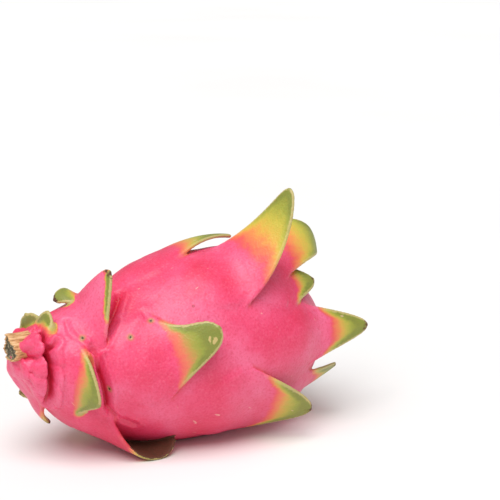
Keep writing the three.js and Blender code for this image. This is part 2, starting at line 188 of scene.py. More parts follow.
# Thick folds gathered round the stem, as (station, turn, height over the skin) along each, with half a
# thickness, of which the ends have a share
ROLLS = [
    {"along": [(-77.5, 36, 1.5), (-75.3, 38, 2), (-72.3, 36, 2), (-68.5, 28, 1.5), (-64, 22, 0)],
     "half": 2.7},
    {"along": [(-76.5, 72, 1), (-73.9, 61, 1.5), (-70.8, 52, 1.5), (-67.5, 46, 1), (-63, 43, -0.5)],
     "half": 2.3},
    {"along": [(-77.6, 98, 1.5), (-76.5, 120, 1.5), (-75.5, 137, 0)], "half": 2.3},
    {"along": [(-73.6, 78, 0.5), (-74.2, 98, 1.5), (-74.4, 118, 1.8), (-72.6, 146, 1.5), (-69, 160, 0)],
     "half": 2.9},
    {"along": [(-77, 244, 1.5), (-77.4, 228, 2.8), (-75.1, 216, 2), (-70.5, 206, 0.5), (-66, 198, -1)],
     "half": 2.9},
    {"along": [(-75, 248, 1), (-73, 250, 1.5), (-70, 248, 1), (-65, 244, -1)], "half": 2.4},
    {"along": [(-76, 274, 1), (-74, 276, 1.5), (-69, 278, 1), (-63, 279, -1)], "half": 2.6},
    {"along": [(-76, 300, 1), (-73, 304, 1.5), (-68, 306, 1), (-62, 306, -1)], "half": 2.6},
]
ROLL_SHARE = {"ends": 0.7, "middle": 0.3}
ROLL_BLEND = 1.2

# Corky spots on the skin, as (station, turn)
SPOTS = [(-57.8, 47), (-40.4, 55), (-50.1, 96), (-30.1, 47)]
# Dry scars near the tips of bracts, and red pricks, placed likewise
SCARS = [(-11.5, 71), (-56, 109), (-58, 124)]
PRICKS = [(-11.9, 48)]

# The stage, in metres and degrees. The photograph has the point that the camera aims at, in the middle of the
# fruit, at fruit_px.
CAMERA = {
    "azimuth": -30, "elevation": 16, "distance": 0.7, "aim_height": 0.0398, "sensor_mm": 36,
    "frame_px": 500, "fruit_px": (182, 341), "px_per_m": 2280,
}
FLOOR = {"half": 6.0, "below": 0.0002}
SURROUND = 0.38
KEY = {"from": (-0.35, -0.3, 1.0), "wide": 50, "strength": 2.8}
FILL = {"from": (-0.9, -1.0, 0.5), "wide": 60, "strength": 0.12}

# How the skin is made, in millimetres: the grid's step, the triangles that are kept, and the blades' step
CELL = 0.6
MOST_TRIANGLES = 180000
BLADE_STEP = 0.8
# How far from a blade its distance is measured, the step in which cells near it are picked out, the room left
# round the whole, and the most that the skin stands out of the plain body
REACH = 6.0
BAND_STEP = 3.0
MARGIN = 4.0
RELIEF_ROOM = 4
# How widely a bract's outer and inner side are rounded into the skin, how far from its edge the outer
# rounding is full, and how widely the navel's rim is rounded
OUTER_BLEND = 5.0
INNER_BLEND = 1.2
FULL_BLEND = 4.0
NAVEL_BLEND = 2.5
# Creases are carved this near to the plain body: in full up to the first distance, and fading to the second
CARVED_WITHIN = (3, 6)
# How the points of the grid are evened out: rounds, the share of the way, and how much further back
EVENING = {"rounds": 2, "share": 0.5, "back": 1.03}
# How near to a blade a point of the skin takes its colours, and how far in from its rim they turn sooner
NEAR = 3.0
RIM_REACH = 4.0


def smooth(low, high, value):
    """From 0 at low to 1 at high, eased."""
    share = np.clip((value - low) / (high - low), 0, 1)
    return share * share * (3 - 2 * share)


def profile(station):
    """Radius of the plain body at a station."""
    station = np.asarray(station, float)
    ahead = np.clip(station / FLOWER_REACH, 0, 1)
    flower = WIDEST_RADIUS * (1 - ahead ** FLOWER_TAPER["bend"]) ** FLOWER_TAPER["power"]
    behind = np.clip(-station / STEM_REACH, 0, 1)
    cone = (WIDEST_RADIUS - NECK_RADIUS) * (1 - behind ** STEM_TAPER["bend"]) ** STEM_TAPER["power"]
    stem = cone + NECK_RADIUS * np.sqrt(1 - behind ** NECK_ROUND)
    return np.where(station > 0, flower, stem)


def rise(station):
    """How far the axis is above its height at the widest section."""
    station = np.asarray(station, float)
    sag = SAG["depth"] * np.exp(-((station - SAG["at"]) / SAG["length"]) ** 2)
    return STEM_RISE * smooth(RISE_FROM, -STEM_REACH, station) ** 2 - sag


def relief(station, turn):
    """The swelling of the skin under every bract."""
    radius = profile(station)
    flat = 1.0
    for b in BRACTS.values():
        along = (station - b["at"] + SWELLING["behind"]) / SWELLING["length"]
        around = np.radians(wrapped(turn - b["turn"])) * radius / SWELLING["width"]
        flat = flat * (1 - np.exp(-along ** 2 - around ** 2))
    return SWELLING["height"] * (1 - flat) * np.minimum(1, radius / SWELLING["full"])


def furrow(station, turn):
    """Depth of the puckers at the neck and of the creases."""
    around = np.radians(turn)
    gather = smooth(FOLDS["from"], FOLDS["to"], station) * np.minimum(1, profile(station) / FOLDS["full"])
    wander = sum(size * np.sin(station / length + count * around) for size, length, count in WANDERS)
    puckers = gather * FOLDS["height"] * (1 - np.abs(np.sin(FOLDS["count"] * around / 2 + wander))) ** 3
    return sum(crease(station, turn, c) for c in CREASES) + puckers


def wrapped(degrees):
    """The same angle between -180 and 180."""
    return (degrees + 540) % 360 - 180


def crease(station, turn, c):
    """Depth of a crease: a groove with a low lip on both sides."""
    radius = profile(station)
    nearest = 1e9
    for (s0, t0), (s1, t1) in zip(c["along"], c["along"][1:]):
        x0, y0 = s0 - station, np.radians(wrapped(t0 - turn)) * radius
        x1, y1 = s1 - station, np.radians(wrapped(t1 - turn)) * radius
        dx, dy = x1 - x0, y1 - y0
        share = np.clip(-(x0 * dx + y0 * dy) / (dx * dx + dy * dy + 1e-9), 0, 1)
        nearest = np.minimum(nearest, np.hypot(x0 + share * dx, y0 + share * dy))
    groove = np.exp(-(nearest / c["width"]) ** 2)
    lips = np.exp(-((nearest - LIP["out"] * c["width"]) / c["width"]) ** 2)
    return c["depth"] * (groove - LIP["height"] * lips)


def skin_point(station, turn, depth=0.0):
    """The point under the swollen skin at a depth."""
    radius = max(0.0, float(profile(station) + relief(station, turn)) - depth)
    angle = math.radians(turn)
    height = AXIS_HEIGHT + float(rise(station))
    return np.array([station, -math.sin(angle) * radius, height + math.cos(angle) * radius])


def unit(v):
    return v / np.linalg.norm(v)


def skin_frame(station, turn):
    """The plain body's direction towards the flower end, and its outward normal."""
    step = SLOPE_STEP
    station = min(max(station, 2 * step - STEM_REACH), FLOWER_REACH - 2 * step)
    slope = float(profile(station + step) - profile(station - step)) / (2 * step)
    climb = float(rise(station + step) - rise(station - step)) / (2 * step)
    angle = math.radians(turn)
    out = np.array([0, -math.sin(angle), math.cos(angle)])
    ahead = unit(np.array([1, 0, climb]) + slope * out)
    round_ = np.array([0, -math.cos(angle), -math.sin(angle)])
    return ahead, unit(np.cross(round_, ahead))


def turned(v, axis, degrees):
    """v turned about a unit axis."""
    angle = math.radians(degrees)
    return (
        v * math.cos(angle)
        + np.cross(axis, v) * math.sin(angle)
        + axis * np.dot(axis, v) * (1 - math.cos(angle))
    )


def bract_spine(b):
    """(s, place, across, normal, body radius) along the middle of a bract.

    s is -1 at the buried end of the root, 0 where the bract leaves the skin and 1 at its tip."""
    ahead, normal = skin_frame(b["at"], b["turn"])
    ahead = turned(ahead, normal, -b["heading"])
    across = np.cross(ahead, normal)
    half_thick = ROOT_HALF_THICK * b["thick"]
    start = skin_point(b["at"], b["turn"], half_thick)
    frames = []
    lead_steps = math.ceil(LEAD / BLADE_STEP)
    for i in range(lead_steps, 0, -1):
        share = i / lead_steps
        place = start - ahead * LEAD * share
        height = AXIS_HEIGHT + float(rise(place[0]))
        turn = math.degrees(math.atan2(-place[1], place[2] - height))
        station = min(max(place[0], -STEM_REACH * END_SHARE), FLOWER_REACH * END_SHARE)
        skin = skin_point(station, turn, half_thick + ROOT_DEPTH * share ** 2)
        frames.append((-share, skin, across, skin_frame(station, turn)[1], float(profile(station))))
    place = start
    radius = float(profile(b["at"]))
    frames.append((0.0, place, across, normal, radius))
    pitch = swerve = 0.0
    free_steps = math.ceil(b["length"] / BLADE_STEP)
    for i in range(1, free_steps + 1):
        s = i / free_steps
        wanted_pitch = b["lift"] * (1 - math.exp(-s / LIFT_WITHIN)) + b["curl"] * s ** CURL_POWER
        wanted_swerve = b["veer"] * s
        ahead = turned(ahead, across, wanted_pitch - pitch)
        normal = turned(normal, across, wanted_pitch - pitch)
        ahead = turned(ahead, normal, -(wanted_swerve - swerve))
        across = turned(across, normal, -(wanted_swerve - swerve))
        across = turned(across, ahead, b["twist"] / free_steps)
        normal = turned(normal, ahead, b["twist"] / free_steps)
        pitch, swerve = wanted_pitch, wanted_swerve
        place = place + ahead * b["length"] / free_steps
        frames.append((s, place, across, normal, radius))
    return frames


def width_share(s, b):
    """Half the width of a bract at s, as a share of its width at the root."""
    if s < 0:
        return 1 - ROOT_NARROWING * s * s
    flare = b["neck"] + (1 - b["neck"]) * (1 - s) ** b["flare"]
    return flare * (1 - s ** b["blunt"]) ** TIP_ROUNDING + TIP_SHARE * s


def bract_sheet(b):
    """The middle surface of a bract: points, and s, t, the way to the rim and half the thickness at each.

    t is -1 at one edge, 0 along the middle and 1 at the other edge."""
    across_steps = max(6, math.ceil(2 * b["half"] / BLADE_STEP))
    t = np.linspace(-1, 1, across_steps + 1)
    rows, s_rows, t_rows, rim_rows, thick_rows = [], [], [], [], []
    for s, place, across, normal, radius in bract_spine(b):
        free = max(0.0, s)
        half = b["half"] * width_share(s, b)
        side = t * half
        bend = (1 - free + b["cup"] * free) / (radius + CURVE_EXTRA)
        dip = EDGE_DROP * (1 - smooth(0, GRIP, s))
        drop = (1 - np.cos(side * bend)) / bend + dip * np.abs(t) ** 3
        rows.append(place + np.outer(np.sin(side * bend) / bend, across) - np.outer(drop, normal))
        middle = b["thick"] * (ROOT_HALF_THICK + (TIP_HALF_THICK - ROOT_HALF_THICK) * free ** THINNING)
        thick_rows.append(middle * (1 - (1 - EDGE_SHARE) * t * t))
        s_rows.append(np.full_like(t, s))
        t_rows.append(t)
        rim_rows.append(np.minimum((1 - np.abs(t)) * half, (1 - s) * b["length"]))
    return [np.array(values) for values in (rows, s_rows, t_rows, rim_rows, thick_rows)]


class Sheet:
    """A bract's middle surface, with the nearest point on it."""

    def __init__(self, b):
        self.points, s, t, rim, thick = bract_sheet(b)
        rows, columns = s.shape
        grid = np.arange(rows * columns).reshape(rows, columns)
        quads = np.stack([grid[:-1, :-1], grid[:-1, 1:], grid[1:, 1:], grid[1:, :-1]], -1).reshape(-1, 4)
        flat = self.points.reshape(-1, 3)
        self.tree = BVHTree.FromPolygons([Vector(p) for p in flat], quads.tolist())
        self.s, self.t, self.rim, self.thick = [v.reshape(-1)[quads].mean(1) for v in (s, t, rim, thick)]
        a = flat[quads[:, 2]] - flat[quads[:, 0]]
        c = flat[quads[:, 3]] - flat[quads[:, 1]]
        normal = np.cross(a, c)
        self.normal = normal / np.maximum(np.linalg.norm(normal, axis=1, keepdims=True), 1e-9)

    def near(self, places, reach):
        """For each place within reach: its index, the nearest face, how far out of it, and how far away."""
        index, face, distance, offset = [], [], [], []
        find = self.tree.find_nearest
        for i, p in enumerate(places):
            found, _, k, d = find(p, reach)
            if k is not None:
                index.append(i)
                face.append(k)
                distance.append(d)
                offset.append((p[0] - found[0], p[1] - found[1], p[2] - found[2]))
        if not index:
            return None
        face = np.array(face)
        side = (np.array(offset) * self.normal[face]).sum(1)
        return np.array(index), face, side, np.array(distance)


def profile_field():
    """Signed distance to the plain body's outline, as a table over station and radius."""
    outline_points, step, past_ends, past_side = 900, 1.0, 45, 50
    swing = np.linspace(0, math.pi, outline_points)
    station = -np.cos(swing) * np.where(swing < math.pi / 2, STEM_REACH, FLOWER_REACH)
    along = np.arange(-STEM_REACH - past_ends, FLOWER_REACH + past_ends, step)
    out = np.arange(0, WIDEST_RADIUS + past_side, step)
    x, r = np.meshgrid(along, out, indexing="ij")
    best = np.full(x.shape, np.inf)
    for px, pr in zip(station, profile(station)):
        best = np.minimum(best, (x - px) ** 2 + (r - pr) ** 2)
    inside = (r < profile(x)) & (x > -STEM_REACH) & (x < FLOWER_REACH)
    return along, out, np.where(inside, -1, 1) * np.sqrt(best)


def skin_table(height):
    """A height over the skin as a table, at every half millimetre of station and every degree of turn."""
    station = np.arange(-STEM_REACH, FLOWER_REACH + 1.0, 0.5)
    turn = np.arange(-180.0, 182.0)
    return station, turn, height(*np.meshgrid(station, turn, indexing="ij"))


def from_table(table, a, b):
    """Values of an evenly spaced table, interpolated."""
    first, second, values = table
    i = np.clip((a - first[0]) / (first[1] - first[0]), 0, len(first) - 1.001)
    j = np.clip((b - second[0]) / (second[1] - second[0]), 0, len(second) - 1.001)
    i0, j0 = i.astype(int), j.astype(int)
    u, v = i - i0, j - j0
    return (
        values[i0, j0] * (1 - u) * (1 - v)
        + values[i0 + 1, j0] * u * (1 - v)
        + values[i0, j0 + 1] * (1 - u) * v
        + values[i0 + 1, j0 + 1] * u * v
    )


def blended(a, b, width):
    """The smaller of two distances, rounded where they are within width of each other."""
    h = np.clip(0.5 + 0.5 * (b - a) / width, 0, 1)
    return b * (1 - h) + a * h - width * h * (1 - h)


def skin_mesh():
    """The skin as points and quads, and the bracts' sheets by name.

    The fruit is a signed distance on a grid, less than 0 inside, and its skin is where that is 0."""
    sheets = {name: Sheet({**USUAL, **b}) for name, b in BRACTS.items()}
    every = np.vstack([s.points.reshape(-1, 3) for s in sheets.values()])
    body_low = [-STEM_REACH, -WIDEST_RADIUS - RELIEF_ROOM, 0]
    body_high = [FLOWER_REACH, WIDEST_RADIUS + RELIEF_ROOM, AXIS_HEIGHT + WIDEST_RADIUS + RELIEF_ROOM]
    low = np.minimum(every.min(0), body_low) - MARGIN
    high = np.maximum(every.max(0), body_high) + MARGIN
    axes = [np.arange(a, b, CELL) for a, b in zip(low, high)]
    x, y, z = np.meshgrid(*axes, indexing="ij")
    height = AXIS_HEIGHT + rise(x)
    turn = np.degrees(np.arctan2(-y, z - height))
    plain = from_table(profile_field(), x, np.hypot(y, z - height))
    field = plain - from_table(skin_table(relief), x, turn)
    blades = np.zeros(field.shape)
    for roll in ROLLS:
        add_roll(field, axes, roll)
    for sheet in sheets.values():
        add_sheet(field, blades, axes, sheet)
    near_skin = (1 - smooth(*CARVED_WITHIN, np.abs(plain))) * (1 - blades)
    field = field + from_table(skin_table(furrow), x, turn) * near_skin
    field = -blended(-field, -navel_field(x, y, z), NAVEL_BLEND)
    field = np.maximum(field, -z)
    grid = openvdb.FloatGrid(background=REACH)
    grid.copyFromArray(field.astype(np.float32))
    points, quads = grid.convertToQuads(isovalue=0.0)
    points = points.astype(float) * CELL + low
    return points, quads[:, ::-1], sheets


def navel_field(x, y, z):
    """Signed distance to the skin of the hollow at the flower end, more than 0 inside the hollow."""
    stretched = (x - FLOWER_REACH) * NAVEL["radius"] / NAVEL["depth"]
    away = np.sqrt(stretched ** 2 + y ** 2 + (z - AXIS_HEIGHT) ** 2)
    return (NAVEL["radius"] - away) * NAVEL["depth"] / NAVEL["radius"]


def window(low, high, axes):
    """The part of the grid between two corners."""
    return tuple(
        slice(max(0, int((a - ax[0]) / CELL)), min(len(ax), int((b - ax[0]) / CELL) + 2))
        for a, b, ax in zip(low, high, axes)
    )


def add_roll(field, axes, roll):
    """Joins a thick fold to the field: a run of rounded rods, thinner at both ends."""
    middle = np.array([skin_point(station, turn, -up) for station, turn, up in roll["along"]])
    span = window(middle.min(0) - REACH, middle.max(0) + REACH, axes)
    x, y, z = np.meshgrid(*[ax[w] for ax, w in zip(axes, span)], indexing="ij")
    count = len(middle) - 1
    nearest = np.full(x.shape, np.inf)
    for i, (a, b) in enumerate(zip(middle, middle[1:])):
        d = b - a
        share = np.clip(((x - a[0]) * d[0] + (y - a[1]) * d[1] + (z - a[2]) * d[2]) / (d @ d), 0, 1)
        gone = (i + share) / count
        half = roll["half"] * (ROLL_SHARE["ends"] + ROLL_SHARE["middle"] * np.sin(math.pi * gone))
        away = np.sqrt(
            (x - a[0] - share * d[0]) ** 2 + (y - a[1] - share * d[1]) ** 2 + (z - a[2] - share * d[2]) ** 2
        )
        nearest = np.minimum(nearest, away - half)
    field[span] = blended(field[span], nearest, ROLL_BLEND)


def add_sheet(field, blades, axes, sheet):
    """Joins a bract to the field: rounded into the skin on its outer side, and tight on its inner side.

    blades comes to hold how far each cell belongs to the free part of a bract."""
    low = sheet.points.reshape(-1, 3).min(0) - REACH
    high = sheet.points.reshape(-1, 3).max(0) + REACH
    span = window(low, high, axes)
    local = field[span]
    near = band(sheet.points.reshape(-1, 3), [ax[w] for ax, w in zip(axes, span)])
    i, j, k = np.nonzero(near)
    places = np.stack([axes[0][span[0]][i], axes[1][span[1]][j], axes[2][span[2]][k]], 1)
    index, face, side, distance = sheet.near(places.tolist(), REACH)
    where = (i[index], j[index], k[index])
    blade = distance - sheet.thick[face]
    facing_out = smooth(-0.3, 0.8, side / np.maximum(distance, 1e-6))
    near_root = 1 - smooth(0.1, 0.6, sheet.s[face])
    outer = facing_out * near_root * smooth(0, FULL_BLEND, sheet.rim[face])
    width = INNER_BLEND + (OUTER_BLEND - INNER_BLEND) * outer
    local[where] = blended(local[where], blade, width)
    free = (1 - smooth(0.5, 2.5, blade)) * smooth(-0.15, 0.05, sheet.s[face])
    blades[span][where] = np.maximum(blades[span][where], free)


def band(points, axes):
    """The cells of a window within reach of some points."""
    coarse = BAND_STEP
    shape = [int((ax[-1] - ax[0]) / coarse) + 1 for ax in axes]
    marked = np.zeros(shape, bool)
    origin = np.array([ax[0] for ax in axes])
    cells = ((points - origin) / coarse).astype(int)
    marked[tuple(np.clip(cells, 0, np.array(shape) - 1).T)] = True
    for _ in range(math.ceil(REACH / coarse)):
        for axis in range(3):
            grown = marked.copy()
            low = [slice(None)] * 3
            high = [slice(None)] * 3
            low[axis], high[axis] = slice(1, None), slice(None, -1)
            grown[tuple(low)] |= marked[tuple(high)]
            grown[tuple(high)] |= marked[tuple(low)]
            marked = grown
    picks = [((ax - ax[0]) / coarse).astype(int) for ax in axes]
    return marked[np.ix_(*picks)]


def evened(points, quads):
    """Points moved part of the way to the mean of their neighbours, and back, so that nothing shrinks."""
    sides = np.vstack([quads[:, [i, (i + 1) % 4]] for i in range(4)])
    edges = np.unique(np.sort(sides, 1), axis=0)
    both = np.vstack([edges, edges[:, ::-1]])
    count = np.bincount(both[:, 0], minlength=len(points))[:, None]
    for _ in range(EVENING["rounds"]):
        for step in (EVENING["share"], -EVENING["share"] * EVENING["back"]):
            sums = [np.bincount(both[:, 0], points[both[:, 1], axis], len(points)) for axis in range(3)]
            points = points + step * (np.stack(sums, 1) / np.maximum(count, 1) - points)
    return points


def mesh_object(name, points, faces):
    """A smooth object from points in millimetres and faces that all have as many corners."""
    mesh = bpy.data.meshes.new(name)
    mesh.from_pydata([], [], [])
    mesh.vertices.add(len(points))
    mesh.vertices.foreach_set("co", (points * MM).astype(np.float32).ravel())
    mesh.loops.add(faces.size)
    mesh.loops.foreach_set("vertex_index", faces.astype(np.int32).ravel())
    mesh.polygons.add(len(faces))
    mesh.polygons.foreach_set("loop_start", np.arange(0, faces.size, faces.shape[1], dtype=np.int32))
    mesh.update(calc_edges=True)
    mesh.validate()
    mesh.polygons.foreach_set("use_smooth", np.ones(len(mesh.polygons), bool))
    obj = bpy.data.objects.new(name, mesh)
    bpy.context.scene.collection.objects.link(obj)
    return obj


def thin_out(obj, most):
    """Merges the flattest faces until at most so many triangles are left."""
    obj.data.calc_loop_triangles()
    fewer = obj.modifiers.new("fewer", "DECIMATE")
    fewer.ratio = min(1, most / len(obj.data.loop_triangles))
    with bpy.context.temp_override(object=obj, active_object=obj):
        bpy.ops.object.modifier_apply(modifier=fewer.name)


def attribute(obj, name, values):
    """Stores a value at each point, for the material to read."""
    made = obj.data.attributes.new(name, "FLOAT", "POINT")
    made.data.foreach_set("value", values.astype(np.float32))


def make_skin():
    """The skin with its bracts, with what its material goes by at each point."""
    points, quads, sheets = skin_mesh()
    obj = mesh_object("skin", evened(points, quads), quads)
    thin_out(obj, MOST_TRIANGLES)
    points = np.empty(3 * len(obj.data.vertices))
    obj.data.vertices.foreach_get("co", points)
    for name, values in looks_of(points.reshape(-1, 3) / MM, sheets).items():
        attribute(obj, name, values)
    return obj


def looks_of(points, sheets):
    """What the material goes by at each point of the skin, by name, mostly from 0 to 1.

    green, gold: how far it has turned, and by which way. edge: the rim of a bract. inner: its inner face.
    dry: its dry tip, or its inner face made dark brown, which is partly painted shade. deep: painted shade in
    a crease or pucker."""
    looks = {name: np.zeros(len(points)) for name in ("green", "gold", "edge", "inner", "dry")}
    closest = np.full(len(points), np.inf)
    bare = np.ones(len(points))
    for name, sheet in sheets.items():
        turning = {**USUAL, **TURNING.get(name, {})}
        flat = sheet.points.reshape(-1, 3)
        close = np.nonzero(((points > flat.min(0) - NEAR) & (points < flat.max(0) + NEAR)).all(1))[0]
        found = sheet.near(points[close].tolist(), NEAR)
        if found is None:
            continue
        index, face, side, distance = found
        index = close[index]
        gap = distance - sheet.thick[face]
        better = gap < closest[index]
        index, face, side, gap = index[better], face[better], side[better], gap[better]
        closest[index] = gap
        own = 1 - smooth(0.2, NEAR - 0.8, gap)
        s, rim = sheet.s[face], sheet.rim[face]
        front = 1 if turning["edge"] == 0 else smooth(-0.2, 0.3, sheet.t[face] * turning["edge"])
        sooner = turning["rim"] * (1 - smooth(0, RIM_REACH, rim)) * smooth(0.0, 0.6, s) * front
        dry_tip = turning["dry"] * smooth(0.84, 1.0, s)
        # An inner face turns dark brown: partly dryness, partly painted shade inside the cup.
        dry_and_shaded_inside = turning["brown"] * (side < 0) * smooth(0.2, 0.6, s)
        looks["green"][index] = own * np.clip((s + sooner - turning["greens"]) / turning["fade"], 0, 1)
        looks["gold"][index] = turning["gold"]
        looks["edge"][index] = own * (1 - smooth(0, 0.8, rim)) * smooth(0.1, 0.3, s)
        looks["inner"][index] = own * (side < 0) * smooth(-0.1, 0.2, s)
        looks["dry"][index] = own * (dry_tip + dry_and_shaded_inside)
        bare[index] = 1 - own * smooth(-0.1, 0.1, s)
    height = AXIS_HEIGHT + rise(points[:, 0])
    turn = np.degrees(np.arctan2(-points[:, 1], points[:, 2] - height))
    # Painted shade: where a crease or pucker sinks far enough, the skin is to be painted a darker red.
    looks["deep"] = bare * smooth(0.8, 2.6, furrow(points[:, 0], turn))
    return looks


def make_stub():
    """The dry cut stem: ribbed, with a torn rim round a sunken cut."""
    sides = STUB["sides"]
    height = AXIS_HEIGHT + STEM_RISE + STUB["above"]
    inner_end = -STEM_REACH - STUB["shows"] + STUB["length"]
    points, cut = [], []
    for along, share, torn, face in STUB_ROWS:
        for i in range(sides):
            angle = 2 * math.pi * i / sides
            rib = 1 + STUB["rib"] * math.cos(STUB["ribs"] * angle + STUB["rib_turn"])
            seed = Vector((2.2 * math.cos(angle), 2.2 * math.sin(angle), 0.4))
            grain = noise.noise(seed * 1.9 + Vector((along * 2, 7, 3))) + 0.6 * noise.noise(seed * 5)
            ragged = STUB["tear"] * noise.noise(seed * 2.6) + STUB["fine_tear"] * noise.noise(seed * 7)
            from_crest = wrapped(math.degrees(angle) - STUB["crest_turn"]) / STUB["crest_width"]
            tear = torn * ragged + torn * STUB["crest"] * math.exp(-from_crest ** 2)
            pits = face * STUB["pits"] * noise.noise(seed * 3 * share + Vector((0, 0, 5)))
            radius = STUB["radius"] * share * rib * (1 + STUB["grain"] * grain)
            station = inner_end - STUB["length"] * along - tear + pits
            points.append((station, -math.sin(angle) * radius, height + math.cos(angle) * radius))
            cut.append(face)
    points.append((inner_end, 0, height))
    points.append((inner_end - STUB["length"] * STUB_ROWS[-1][0], 0, height))
    cut += [0, 1]
    count = len(STUB_ROWS)
    faces = []
    for r in range(count - 1):
        for i in range(sides):
            j = (i + 1) % sides
            faces.append((r * sides + i, (r + 1) * sides + i, (r + 1) * sides + j, r * sides + j))
    inner, outer = count * sides, count * sides + 1
    caps = [(inner, i, (i + 1) % sides) for i in range(sides)]
    caps += [(outer, (count - 1) * sides + (i + 1) % sides, (count - 1) * sides + i) for i in range(sides)]
    mesh = bpy.data.meshes.new("stub")
    mesh.from_pydata([[c * MM for c in p] for p in points], [], faces + caps)
    mesh.validate()
    obj = bpy.data.objects.new("stub", mesh)
    bpy.context.scene.collection.objects.link(obj)
    attribute(obj, "cut", np.array(cut, float))
    finer = obj.modifiers.new("finer", "SUBSURF")
    finer.levels = finer.render_levels = 1
    mesh.polygons.foreach_set("use_smooth", np.ones(len(mesh.polygons), bool))
    return obj


def srgb(red, green, blue):
    """A colour given from 0 to 255 as the shader wants it."""
    shares = [value / 255 for value in (red, green, blue)]
    return (*[v / 12.92 if v < 0.04045 else ((v + 0.055) / 1.055) ** 2.4 for v in shares], 1)


class Shade:
    """A material in the making: each call adds a node and gives its output."""

    def __init__(self, name):
        self.material = bpy.data.materials.new(name)
        self.material.use_nodes = True
        self.tree = self.material.node_tree
        self.surface = self.tree.nodes["Principled BSDF"]
        self.place = self.node("ShaderNodeTexCoord", {}).outputs["Object"]

    def node(self, kind, inputs, **settings):
        """A node with its inputs, each a value or another node's output, and its own settings."""
        node = self.tree.nodes.new(kind)
        for key, value in settings.items():
            setattr(node, key, value)
        for key, value in inputs.items():
            self.feed(node.inputs[key], value)
        return node

    def feed(self, socket, value):
        if isinstance(value, bpy.types.NodeSocket):
            self.tree.links.new(value, socket)
        else:
            socket.default_value = value

    def attribute(self, name):
        return self.node("ShaderNodeAttribute", {}, attribute_name=name).outputs["Fac"]

    def sum(self, a, b):
        return self.node("ShaderNodeMath", {0: a, 1: b}, operation="ADD").outputs[0]

    def times(self, a, b):
        return self.node("ShaderNodeMath", {0: a, 1: b}, operation="MULTIPLY").outputs[0]

    def least(self, a, b):
        return self.node("ShaderNodeMath", {0: a, 1: b}, operation="MINIMUM").outputs[0]

    def between(self, value, low, high):
        """From 0 at low to 1 at high, eased."""
        node = self.node("ShaderNodeMapRange", {"Value": value, "From Min": low, "From Max": high},
                         interpolation_type="SMOOTHSTEP")
        return node.outputs["Result"]

    def ramp(self, value, stops):
        node = self.node("ShaderNodeValToRGB", {"Fac": value})
        elements = node.color_ramp.elements
        while len(elements) < len(stops):
            elements.new(0.5)
        for element, (position, colour) in zip(elements, stops):
            element.position = position
            element.color = colour
        return node.outputs["Color"]

    def mix(self, share, a, b):
        return self.node("ShaderNodeMix", {0: share, 6: a, 7: b}, data_type="RGBA").outputs[2]

    def tinted(self, colour, share, strength, tint):
        """A colour turned towards a tint by a share of a strength."""
        return self.mix(self.times(share, strength), colour, tint)

    def uneven(self, value, size, detail, amount):
        """A value with noise added to it, up to half an amount either way."""
        return self.sum(value, self.times(self.sum(self.noise(size, detail), -0.5), amount))

    def noise(self, size, detail=2.0, stretch=(1, 1, 1), rough=0.5):
        """Noise from 0 to 1 with lumps of a size in millimetres, longer where stretch is larger."""
        scale = [1 / (s * size * MM) for s in stretch]
        place = self.node("ShaderNodeMapping", {"Vector": self.place, "Scale": scale}).outputs["Vector"]
        inputs = {"Vector": place, "Scale": 1.0, "Detail": detail, "Roughness": rough}
        return self.node("ShaderNodeTexNoise", inputs).outputs["Fac"]

    def distance(self, spot):
        """Distance from a point given in millimetres, in millimetres."""
        inputs = {0: self.place, 1: [c * MM for c in spot]}
        node = self.node("ShaderNodeVectorMath", inputs, operation="DISTANCE")
        return self.times(node.outputs["Value"], 1 / MM)

    def nearest(self, spots):
        """Distance from the nearest of some points, in millimetres."""
        value = self.distance(spots[0])
        for spot in spots[1:]:
            value = self.least(value, self.distance(spot))
        return value

    def bump(self, height, depth):
        """A normal from a height between 0 and 1 that stands for a depth in millimetres."""
        return self.node("ShaderNodeBump", {"Height": height, "Distance": depth * MM}).outputs["Normal"]


def on_skin(skin, station, turn):
    """The outermost point of the made skin at a station and a turn, in millimetres."""
    axis = Vector((station, 0, AXIS_HEIGHT + float(rise(station)))) * MM
    angle = math.radians(turn)
    out = Vector((0, -math.sin(angle), math.cos(angle)))
    _, place, _, _ = skin.ray_cast(axis + out * 2 * WIDEST_RADIUS * MM, -out)
    return place / MM


def bare_skin(shade, stipple):
    """Pink in paler and deeper blotches, stippled."""
    pink = shade.ramp(shade.noise(30, 3), [
        (0.3, srgb(224, 40, 82)), (0.5, srgb(238, 72, 116)), (0.7, srgb(246, 112, 152)),
    ])
    pink = shade.tinted(pink, shade.between(stipple, 0.5, 0.85), 0.3, srgb(250, 146, 172))
    return shade.tinted(pink, shade.between(stipple, 0.5, 0.3), 0.35, srgb(214, 24, 66))


def with_painted_shade(shade, colour):
    """Painted shade: a deeper pink low on the fruit and in the creases."""
    height = shade.node("ShaderNodeSeparateXYZ", {"Vector": shade.place}).outputs["Z"]
    # Painted shade: the fruit turns deeper pink towards the bottom, where less light reaches.
    painted_low_shade = shade.between(shade.sum(height, shade.times(shade.noise(18), 0.02)), 0.055, 0.01)
    colour = shade.tinted(colour, painted_low_shade, 0.4, srgb(206, 36, 74))
    # Painted shade: creases and puckers darkened towards a dark red.
    return shade.tinted(colour, shade.attribute("deep"), 0.8, srgb(196, 0, 40))


def with_navel(shade, colour):
    """The dry hollow at the flower end: red round it, tan inside and brown at the bottom."""
    away = shade.distance((FLOWER_REACH - NAVEL["depth"], 0, AXIS_HEIGHT))
    away = shade.uneven(away, 3, 4, 6)
    colour = shade.tinted(colour, shade.between(away, 13, 9), 0.5, srgb(206, 70, 70))
    colour = shade.mix(shade.between(away, 9, 7), colour, srgb(176, 126, 76))
    return shade.mix(shade.between(away, 5, 2.5), colour, srgb(92, 62, 38))


